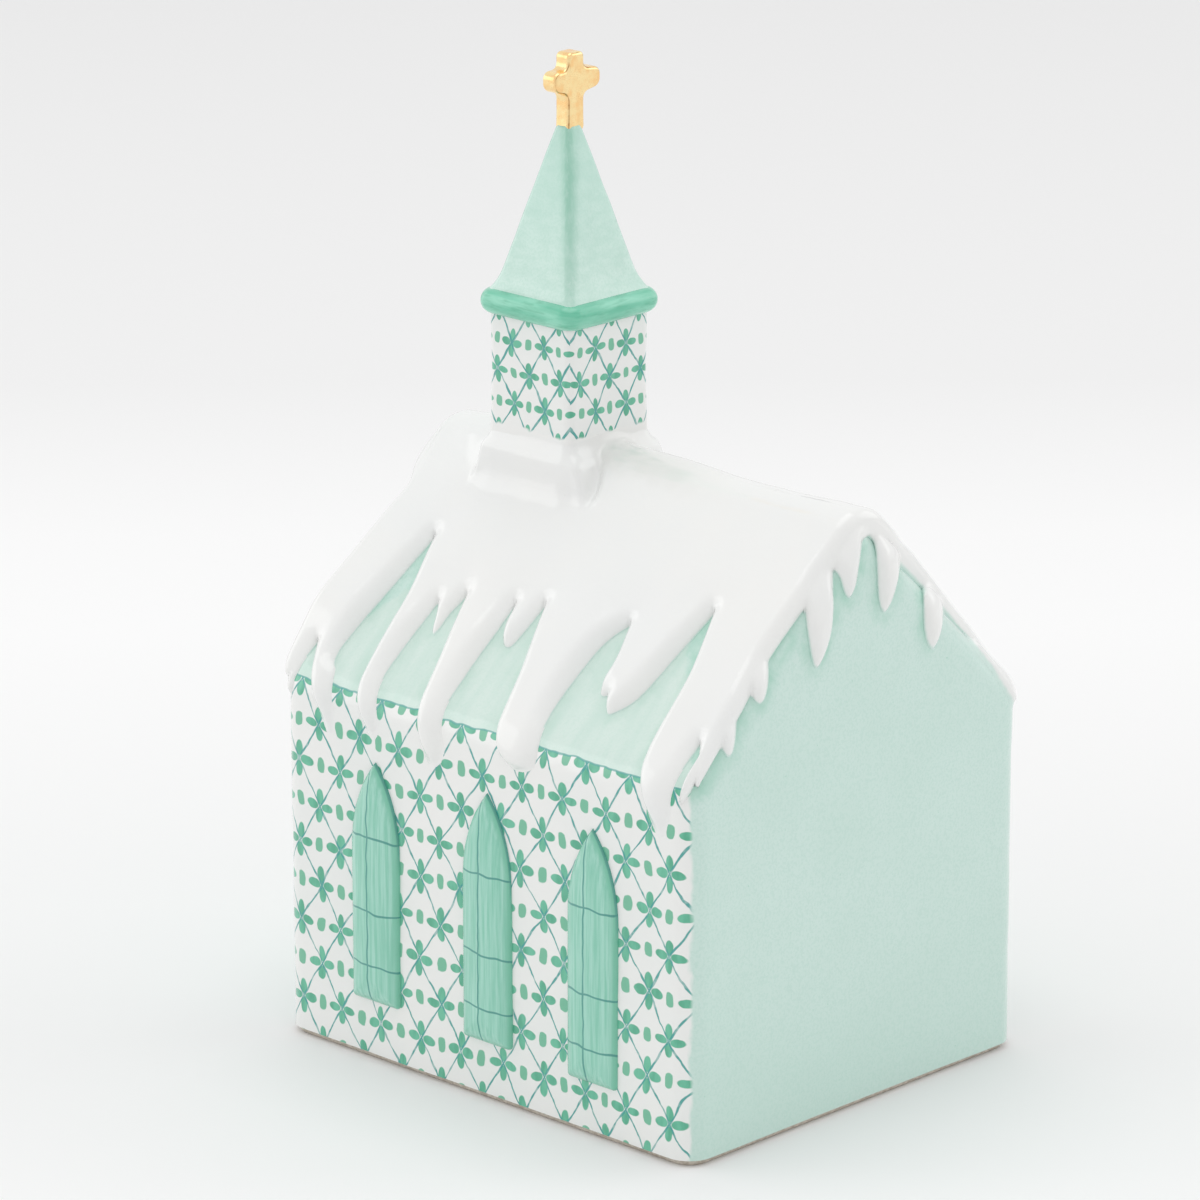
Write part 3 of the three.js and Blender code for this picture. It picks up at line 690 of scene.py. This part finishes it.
def window_look():
    look = glazed("window_glaze")
    streak = look.noise(1.8, 4, stretch=(1.2, 1.2, 0.05), offset=4, rough=0.6)
    tone = look.mottle(streak, rgb(132, 202, 178), rgb(166, 220, 203))
    edge = look.value("edge")
    tone = look.mix(look.fall(edge, 0.1, 0.9), tone, rgb(118, 196, 168))
    # one upright line, three across it at their own heights and tilts, and one round the arch
    wavy = look.sway(1.0, 0.3, 1)
    lines = look.fall(look.size(look.add(look.value("across"), look.mul(wavy, 0.8))), 0.08, 0.2)
    for height, tilt in ((12.6, 0.032), (20.0, 0.036), (31.6, 0.0)):
        leaning = look.sub(look.z, look.mul(look.sub(20.0, look.x), tilt))
        near = look.size(look.add(look.sub(leaning, height), wavy))
        lines = look.top(lines, look.fall(near, 0.08, 0.2))
    rim = look.mul(look.fall(edge, 0.06, 0.22), look.step(look.z, 27, 33))
    lines = look.top(lines, look.mul(rim, 0.8))
    look.colour(look.mix(look.mul(lines, 0.85), tone, rgb(52, 140, 132)))
    return look.material


def gold_look():
    look = Look("gold_lustre", coat=0.0, metallic=1.0)
    look.rough(look.step(look.noise(0.9, 3), 0.3, 0.7, 0.18, 0.3))
    look.bump(look.noise(1.2, 3, offset=3), 0.012)
    patch = look.step(look.noise(0.8, 3, offset=7), 0.35, 0.7)
    tone = look.mix(patch, rgb(255, 228, 170), rgb(252, 208, 146))
    # painted reflection: brown where the front and the back turn into the sides
    ragged = look.add(look.value("side"), look.sway(1.6, 0.6, 3, offset=11))
    look.colour(look.mix(look.step(ragged, 0.55, 1.15, 0.0, 0.9), tone, rgb(158, 98, 44)))
    return look.material


def foot_look():
    look = Look("bare_foot", roughness=0.8, coat=0.0)
    look.colour(look.mottle(look.noise(1.6, 4), rgb(214, 206, 194), rgb(186, 176, 162)))
    look.bump(look.noise(5, 3), 0.05)
    return look.material


# pieces

def outline_ups(count):
    """distances along the nave's outline, closer together on the slopes and where it bends"""
    ups = [FOOT - EAVE_C[1] - EAVE_HALF + (EAVE_C[1] - FOOT) * i / count for i in range(count)]
    ups += [-EAVE_HALF + 2 * EAVE_HALF * i / 10 for i in range(10)]
    ups += [EAVE_HALF + STRAIGHT * i / (2 * count) for i in range(2 * count)]
    ups += [RIDGE - RIDGE_ROUND * PITCH * (1 - i / 6) for i in range(6)]
    return np.array(ups + [RIDGE] + [2 * RIDGE - up for up in ups[::-1]])


def nave_skin(offset, count, across):
    """points and quads of the nave's skin, open below"""
    ups = outline_ups(count)
    turns = np.linspace(0, math.pi / 2, 9)
    radius = VERGE + offset
    along = [(HALF_X - VERGE + radius * math.cos(t), radius * math.sin(t) - VERGE) for t in turns]
    xs = np.linspace(-HALF_X + VERGE, HALF_X - VERGE, 2 * count + 10)[1:-1]
    rings = [ring_points(-x, ups, out) for x, out in along] + [ring_points(x, ups, offset) for x in xs]
    rings = np.array(rings + [ring_points(x, ups, out) for x, out in along[::-1]])
    rows, columns = rings.shape[:2]
    points, faces = [rings.reshape(-1, 3)], grid_faces(rows, columns, flip=True)
    total = rows * columns
    for end in (0, rows - 1):
        left, right = rings[end][:columns // 2], rings[end][::-1][:columns // 2]
        share = np.linspace(0, 1, across)[None, 1:-1, None]
        fill = left[:, None] + (right - left)[:, None] * share
        ids = total + np.arange(fill.shape[0] * fill.shape[1]).reshape(fill.shape[:2])
        rim = end * columns + np.arange(columns // 2)
        far = end * columns + columns - 1 - np.arange(columns // 2)
        ids = np.concatenate([rim[:, None], ids, far[:, None]], 1)
        quads = np.stack([ids[:-1, :-1], ids[:-1, 1:], ids[1:, 1:], ids[1:, :-1]], -1).reshape(-1, 4)
        top = [list(ids[-1]) + [end * columns + columns // 2]]
        faces += (quads if end else quads[:, ::-1]).tolist() + (top if end else [top[0][::-1]])
        points.append(fill.reshape(-1, 3))
        total += fill.shape[0] * fill.shape[1]
    return np.concatenate(points), faces


def ring_points(x, ups, out):
    """the nave's outline at this x, moved out by this much"""
    side = np.where(ups > RIDGE, 1, -1)
    up = RIDGE - np.abs(ups - RIDGE)
    turn = np.clip(up + EAVE_HALF, 0, 2 * EAVE_HALF) / EAVE_ROUND
    run = np.clip(up - EAVE_HALF, 0, None)
    fall = np.clip(up + EAVE_HALF, None, 0)
    y = EAVE_C[0] + (EAVE_ROUND + out) * np.cos(turn) - run * COS
    z = EAVE_C[1] + (EAVE_ROUND + out) * np.sin(turn) + run * SIN + fall
    bend = EAVE_TURN + np.clip(up - EAVE_HALF - STRAIGHT, 0, None) / RIDGE_ROUND
    top = up > EAVE_HALF + STRAIGHT
    y = np.where(top, (RIDGE_ROUND + out) * np.cos(bend), y)
    z = np.where(top, RIDGE_C + (RIDGE_ROUND + out) * np.sin(bend), z)
    return np.stack([np.full(len(ups), float(x)), side * y, z], 1)


def grid_faces(rows, columns, start=0, flip=False, wrap=False):
    """quads between rows of points, closed round where they wrap"""
    faces = []
    for i in range(rows - 1):
        low, high = start + i * columns, start + (i + 1) * columns
        for j in range(columns if wrap else columns - 1):
            k = (j + 1) % columns
            quad = [low + j, low + k, high + k, high + j]
            faces.append(quad[::-1] if flip else quad)
    return faces


def make_nave(material):
    points, faces = nave_skin(0, 40, 90)
    inner, inner_faces = nave_skin(-WALL, 14, 12)
    points = settle(points, lambda x, y, z: nave_distance(x, y, z)[0])[0]
    points[:, 2] = np.maximum(points[:, 2], FOOT)
    # the lip under the wall, from the outer skin to the inner one
    steps = ((0.0, FOOT), (1.6, FOOT - 0.02), (WALL + 0.1, FOOT + 0.3))
    lip = np.array([rectangle_ring(inset, z) for inset, z in steps])
    lip_faces = grid_faces(*lip.shape[:2], start=len(points) + len(inner), wrap=True, flip=True)
    every = np.concatenate([points, inner, lip.reshape(-1, 3)])
    faces = faces + [[len(points) + i for i in face[::-1]] for face in inner_faces] + lip_faces
    # no deeper wash and no painted shade under the thin rim of snow on the right half of a gable
    right = points[:, 1] * np.sign(points[:, 0])
    snow = np.full(len(every), FAR)
    gable = np.abs(points[:, 0]) > HALF_X - 2
    snow[:len(points)] = snow_nearness(points) + 4 * smooth(right, 11, 17) * gable
    piece("nave", every, faces, ["nave_shell"], material,
          values={"snow": snow, "inside": np.arange(len(every)) >= len(points)})


def rounded_ring(z, half_x, half_y, corner, arc, side=0, middle=0.0):
    """rounded rectangle with points round its corners and along its sides"""
    arcs = []
    for quarter, (sx, sy) in enumerate(CORNERS):
        turn = math.pi / 2 * (quarter - 1 + np.linspace(0, 1, arc))
        x = middle + sx * (half_x - corner) + corner * np.cos(turn)
        y = sy * (half_y - corner) + corner * np.sin(turn)
        arcs.append(np.stack([x, y, np.full(arc, z)], 1))
    ends, starts = np.array(arcs)[:, -1:], np.roll(arcs, -1, axis=0)[:, :1]
    sides = ends + np.linspace(0, 1, side + 2)[1:-1, None] * (starts - ends)
    return np.concatenate([arcs, sides], 1).reshape(-1, 3)


def rectangle_ring(inset, z):
    """the nave's outline seen from above, moved in by this much"""
    return rounded_ring(z, HALF_X - inset, HALF_Y - inset, max(VERGE - inset, 0.6), 9)


def snow_nearness(points):
    """rough distance from the snow's edge over the bare skin"""
    x, y, z = points.T
    best = np.full(len(points), FAR)
    flat = np.abs(x) < HALF_X - 1
    side = np.where(y < 0, 1, -1)
    for away in (0.6, 1.3, 2.2, 3.2):
        for turn in np.arange(0, 6.28, 0.785):
            dx, dz = away * math.cos(turn), away * math.sin(turn)
            place = (np.where(flat, x + dx, x), np.where(flat, y + side * dz * COS, y + dx),
                     z + np.where(flat & (z > EAVE), dz * SIN, dz))
            snow, dist = snow_distance(*place)
            best = np.where(snow - dist < 0, np.minimum(best, away), best)
    return best


def snow_field(x, y, z):
    snow = snow_distance(x, y, z)[0]
    # a groove between the ridge's snow and the saddle, then the saddle, and a fillet round the tower's foot
    gap = x - TOWER_X - saddle_right(z)
    aside = np.abs(y)
    snow = snow + 0.8 * hump(gap, 0.4, 1.1) * smooth(aside, 2, 6) * (1 - smooth(aside, 6, 9.5))
    front = smooth(aside, 7.4, 8.8) * (1 - smooth(gap, -5, -2)) * smooth(x - TOWER_X, -9, -6)
    snow = blend_min(snow, saddle_distance(x, y, z), 0.8 + 1.0 * front)
    shaft = np.maximum(square_distance(x, y, TOWER_HALF + 0.12, TOWER_HALF + 0.12, 1.4), z - SADDLE_TOP - 2)
    return np.where(z > 76, blend_min(snow, shaft, 2.0), snow)


def make_snow(material):
    step = 0.34
    low = np.array([-40.0, -35.2, 40.0])
    high = np.array([40.0, 35.2, 84.5])
    axes = [np.arange(a, b, step) for a, b in zip(low, high)]
    shape = [len(a) for a in axes]
    field = np.empty(shape, np.float32)
    for i, x in enumerate(axes[0]):
        y, z = np.meshgrid(axes[1], axes[2], indexing="ij")
        dist = nave_distance(x + 0 * y, y, z)[0]
        near = (np.abs(dist) < 4.2) | ((np.abs(y) < 13) & (abs(x - TOWER_X) < 14) & (z > 66))
        slab = dist.astype(np.float32)
        slab[near] = snow_field(np.full(near.sum(), x), y[near], z[near])
        field[i] = np.maximum(np.where(near, slab, np.sign(slab) * 3), -(dist + 0.45))
    points, quads = nets(field, low, step)
    moved, normals = settle(points, snow_field)
    # what lies inside the nave's skin is cut off
    deep = nave_distance(*points.T)[0] < -0.3
    points = np.where(deep[:, None], points, moved)
    quads = quads[~deep[quads].all(axis=1)]
    used = np.unique(quads)
    place = np.full(len(points), -1)
    place[used] = np.arange(len(used))
    points = points[used]
    dist, up, turn = nave_distance(*points.T)
    # the rim over the right half of a gable is a thin one, the edges on the slopes are full
    right = points[:, 1] * np.sign(points[:, 0])
    far = smooth(right, 4, 10) * (1 - smooth(right, 17, 23))
    thin = 1.8 - smooth(turn, 0.1, 0.3) * (0.8 + 0.5 * far * (1 - smooth(turn, 0.5, 0.8)))
    painted = (up < EAVE_HALF) & (np.abs(points[:, 0]) < HALF_X - 1.5)
    piece("snow", points, place[quads], ["snow_blanket", "tower_saddle"], material,
          normals=normals[used], values={"thick": np.where(painted, 1.0, dist * thin)})


def tower_piece(name, levels, node, material, wave=1.0):
    """a piece of the tower from its levels: height, half width and corner radius"""
    rings = np.array([rounded_ring(z, half, half, corner, 15, 9, TOWER_X) for z, half, corner in levels])
    rows, columns = rings.shape[:2]
    points = rings.reshape(-1, 3)
    out = (points - [TOWER_X, 0, 0]) * [1, 1, 0]
    out /= np.linalg.norm(out, axis=1)[:, None]
    points = points + out * wave * unevenness(*(1.7 * points + [0, 0, 20]).T)[:, None]
    faces = grid_faces(rows, columns, wrap=True)
    faces += [list(range(columns))[::-1], list(range((rows - 1) * columns, rows * columns))]
    piece(name, points, faces, [node], material)


def make_shaft(material):
    levels = []
    for share in np.linspace(0, 1, 24):
        z = SADDLE_TOP - 0.8 + (SHAFT_TOP + 1.4 - SADDLE_TOP) * share
        levels.append((z, TOWER_HALF + 0.2 - 0.14 * math.sin(math.pi * share), 1.3))
    tower_piece("shaft", levels, "tower_shaft", material)


def make_bead(material):
    levels = []
    for turn in math.pi * np.linspace(-0.5, 0.5, 19):
        half = TOWER_HALF - 0.1 + 1.5 * math.cos(turn) ** 0.8
        levels.append((SHAFT_TOP + 1.6 + 1.7 * math.sin(turn), half, 2.0))
    tower_piece("bead", levels, "eave_moulding", material)


def make_spire(material):
    levels = []
    foot_half, head_half, flare = 7.3, 1.25, 0.8
    for share in np.linspace(0, 1, 40):
        half = foot_half + (head_half - foot_half) * share + flare * max(0.0, 1 - share * 7) ** 2
        levels.append((BEAD_TOP - 0.5 + (SPIRE_TOP - BEAD_TOP + 0.9) * share, half, 1.1 - 0.4 * share))
    tower_piece("spire_roof", levels, "spire", material, 0.8)


def cross_field(x, y, z):
    """distance from the cross: its outline with rounded corners, 2.56 mm thick"""
    x, y = x - TOWER_X, y - 0.25
    low, middle = SPIRE_TOP - 0.6, SPIRE_TOP + 6.1
    stem_half = 1.46 + 0.12 * np.clip((SPIRE_TOP + 2 - z) / 2.6, 0, 1) ** 2
    stem = rounded(np.abs(y) - stem_half, np.abs(z - (CROSS_TOP + low) / 2) - (CROSS_TOP - low) / 2, 0.75)
    # the arms get thinner outwards, mostly from below
    along = np.clip(np.abs(y - 0.3) - 1.3, 0, 4)
    lift = np.where(y < 0, 0.09, 0.04) * along
    arms = rounded(np.abs(y - 0.3) - 4.25, np.abs(z - middle - lift) - 1.68 + 0.15 * along, 0.95)
    return rounded(blend_min(stem, arms, 1.0), np.abs(x) - 1.28, 0.45)


def make_cross(material):
    step = 0.13
    low = np.array([TOWER_X - 2.0, -5.2, SPIRE_TOP - 1.2])
    axes = [np.arange(a, b, step) for a, b in zip(low, (TOWER_X + 2.0, 5.8, CROSS_TOP + 0.6))]
    field = cross_field(*np.meshgrid(*axes, indexing="ij"))
    points, quads = nets(field, low, step)
    points, normals = settle(points, cross_field)
    # painted reflection: the gold is darker where the front and the back turn into the sides, for dark
    # surroundings mirrored in the rounded edges
    turn = np.arccos(np.clip(np.abs(normals[:, 0]), 0, 1))
    piece("gilt_cross", points, quads, ["cross"], material, normals=normals,
          values={"side": hump(turn, 0.8, 0.3)})


def lancet_ring(half, high, rise, foot, inset, steps=12):
    """the right half of a pointed arch's outline, moved in by inset: foot corner, side and arc"""
    spring = high - rise
    centre = half - (rise * rise + half * half) / (2 * half)
    arc, corner, start = half - centre - inset, max(foot - inset, 0.02), max(foot, inset)
    sweep = math.acos(max(-1.0, min(1.0, -centre / arc)))
    ring = []
    for t in np.linspace(0, math.pi / 2, steps):
        ring.append((half - start + corner * math.sin(t), start - corner * math.cos(t)))
    ring += [(half - inset, start + (spring - start) * i / steps) for i in range(1, steps)]
    for t in np.linspace(0, sweep, 2 * steps):
        ring.append((centre + arc * math.cos(t), spring + arc * math.sin(t)))
    return ring


def panel(half, high, rise, foot, relief, edge, crown):
    """raised panel with a pointed arch: points across, up and out, faces, and the way in from the edge"""
    rim, crest = edge * (1 - np.cos(np.linspace(0, math.pi / 2, 7))), np.linspace(edge, half - 0.15, 7)
    insets = [*rim, *crest[1:]]
    rows = []
    for inset in insets:
        q = min(inset / edge, 1)
        out = relief * math.sqrt(1 - (1 - q) ** 2) + crown * smooth(inset, 0, half)
        right = lancet_ring(half, high, rise, foot, inset)
        ring = right + [(-a, b) for a, b in right[::-1]]
        rows.append([(a, b, float(out)) for a, b in ring])
    count = len(rows[0])
    sunk = [(a, b, -0.5) for a, b, _ in rows[0]]
    grid = np.array([sunk] + rows)
    faces = grid_faces(len(grid), count, wrap=True)
    last = (len(grid) - 1) * count
    for j in range(count // 2 - 1):
        faces.append([last + j, last + j + 1, last + count - 2 - j, last + count - 1 - j])
    near = np.repeat([0] + insets, count)
    return grid.reshape(-1, 3), faces, near


def make_windows(material):
    for i, (x, sill, high) in enumerate(WINDOWS):
        shape, faces, near = panel(4.4, high, rise=12.0, foot=0.7, relief=1.0, edge=1.9, crown=0.45)
        across, up, out = shape.T
        points = np.stack([x + across, -HALF_Y - out, sill + up], 1)
        for number, turned in ((i + 1, points), (i + 4, points * [-1, -1, 1])):
            piece(f"lancet_{number}", turned, faces, [f"window_{number}"], material,
                  values={"edge": near, "across": across + 0.5})


def make_door(material):
    shape, faces, near = panel(7.5, 29.0, rise=12.0, foot=1.2, relief=1.2, edge=1.0, crown=0.3)
    across, up, out = shape.T
    sill = reach("door")[0][2]
    points = np.stack([-HALF_X - out, -across, sill + up], 1)
    piece("doorway", points, faces, ["door"], material,
          values={"edge": near, "across": across})


def make_foot(material):
    over, under = FOOT + 0.1, FOOT - 0.1
    steps = ((0.35, over), (0.5, under), (0.55, 0.3), (0.85, 0.0), (2.2, 0.0), (2.5, 0.3), (2.6, over))
    rings = np.array([rectangle_ring(inset, z) for inset, z in steps])
    faces = grid_faces(*rings.shape[:2], wrap=True, flip=True)
    piece("foot_ring", rings.reshape(-1, 3), faces, ["foot_rim"], material)


# stage

def make_camera():
    turn, rise = math.radians(43.881), math.radians(16.934)
    back = Vector((math.sin(turn) * math.cos(rise), -math.cos(turn) * math.cos(rise), math.sin(rise)))
    place = Vector((578.0, -610.7, 317.3)) * MM
    data = bpy.data.cameras.new("camera")
    data.lens, data.sensor_width = 200, 36
    data.clip_start, data.clip_end = 0.01, 20
    camera = put("camera", data)
    camera.location = place
    camera.rotation_mode = "QUATERNION"
    camera.rotation_quaternion = (-back).to_track_quat("-Z", "Y")
    bpy.context.scene.camera = camera


def make_floor():
    half = 6.0
    mesh = bpy.data.meshes.new("floor")
    mesh.from_pydata([(sx * half, sy * half, 0) for sx, sy in CORNERS], [], [(0, 1, 2, 3)])
    look = Look("floor", roughness=0.7, coat=0.0)
    look.shader.inputs["Specular IOR Level"].default_value = 0.2
    # the paper's greys against the way back past the figurine, in metres, with light and shade painted in:
    # a little lighter in a band behind it as a painted pool of light, and darker further back as painted
    # shade
    greys = ((-0.2, 0.93), (-0.08, 0.925), (0.0, 0.885), (0.1, 0.885),
             (0.26, 0.93), (0.34, 0.92), (0.48, 0.85), (0.8, 0.85))
    start, length = greys[0][0], greys[-1][0] - greys[0][0]
    back = look.sub(look.sub(look.y, look.x), start / MM)
    ramp = look.node("ValToRGB")
    look.link(look.mul(back, MM / length), ramp.inputs[0])
    stops = ramp.color_ramp.elements
    stops.remove(stops[1])
    for i, (at, grey) in enumerate(greys):
        stop = stops.new((at - start) / length) if i else stops[0]
        stop.position, stop.color = (at - start) / length, (grey, grey, grey, 1)
    look.colour(ramp.outputs[0])
    mesh.materials.append(look.material)
    floor = put("floor", mesh)


def lamp(name, place, size, power):
    data = bpy.data.lights.new(name, "AREA")
    data.shape, data.size, data.size_y, data.energy = "RECTANGLE", *size, power
    light = put(name, data)
    light.location = place
    light.rotation_mode = "QUATERNION"
    light.rotation_quaternion = (Vector(place) - Vector((0, 0, 0.05))).to_track_quat("Z", "Y")


def make_light():
    lamp("left", (-0.85, -0.45, 0.25), (0.8, 0.8), 1.5)
    lamp("right", (0.45, 0.85, 0.5), (0.7, 0.7), 1.1)
    lamp("above", (-0.1, 0.0, 1.1), (0.9, 0.9), 2.6)
    world = bpy.data.worlds.new("studio")
    bpy.context.scene.world = world
    world.use_nodes = True
    nodes, links = world.node_tree.nodes, world.node_tree.links
    nodes["Background"].inputs["Color"].default_value = (1, 1, 1, 1)
    nodes["Background"].inputs["Strength"].default_value = 0.79
    shown = nodes.new("ShaderNodeBackground")
    shown.inputs["Color"].default_value = (0.9, 0.9, 0.9, 1)
    # the backdrop's grey is what the camera and reflections see
    path = nodes.new("ShaderNodeLightPath")
    either = nodes.new("ShaderNodeMath")
    either.operation = "MAXIMUM"
    mix = nodes.new("ShaderNodeMixShader")
    links.new(path.outputs["Is Camera Ray"], either.inputs[0])
    links.new(path.outputs["Is Glossy Ray"], either.inputs[1])
    links.new(either.outputs[0], mix.inputs[0])
    links.new(nodes["Background"].outputs[0], mix.inputs[1])
    links.new(shown.outputs[0], mix.inputs[2])
    links.new(mix.outputs[0], nodes["World Output"].inputs[0])


bpy.context.scene.view_settings.view_transform = "Standard"
make_camera()
make_floor()
make_light()
make_nave(nave_look())
make_snow(snow_look())
make_shaft(tower_look())
make_bead(green_look())
make_spire(spire_look())
make_cross(gold_look())
windows = window_look()
make_windows(windows)
make_door(windows)
make_foot(foot_look())
